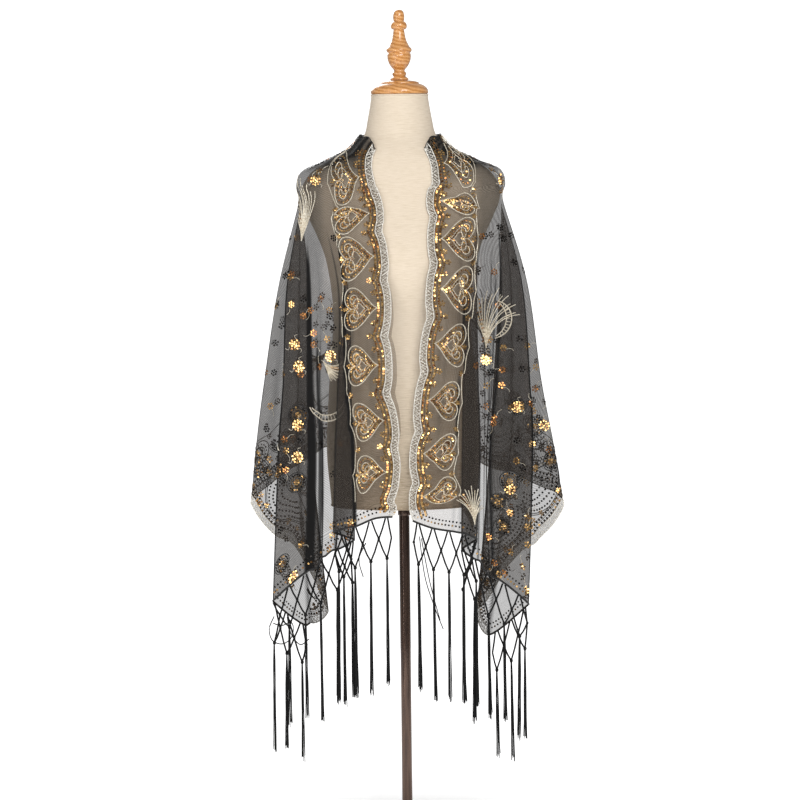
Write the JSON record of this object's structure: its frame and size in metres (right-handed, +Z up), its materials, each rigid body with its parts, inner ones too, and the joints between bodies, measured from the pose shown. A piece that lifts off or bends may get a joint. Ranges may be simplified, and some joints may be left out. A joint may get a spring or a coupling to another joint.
{
  "type": "evening stole on a dress form",
  "caption": "Sheer black net stole with gold sequins and knotted fringe, worn open like a cape on a limbless linen dress form with a turned wooden finial, a pole and a round foot",
  "frame": {"origin": "middle of the foot's underside, on the floor", "axes": "+Z up, -Y to the front where the stole opens, +X to the right of a viewer in front"},
  "size_m": [0.6456, 0.34, 1.7],
  "materials": {
    "net": "sheer black net worked with sequins and thread",
    "fringe": "knotted black silk cord",
    "linen": "cream plain-woven linen",
    "wood": "turned and varnished",
    "metal": "dark bronze"
  },
  "bodies": {
    "root": {"form_base": "metal", "form_finial": "wood", "form_neck_cap": "wood", "form_pole": "metal", "form_torso": "linen", "fringe_left": "fringe", "fringe_right": "fringe", "stole_back": "net", "stole_front_left": "net", "stole_front_right": "net", "stole_wing_left": "net", "stole_wing_right": "net"}
  },
  "joints": []
}
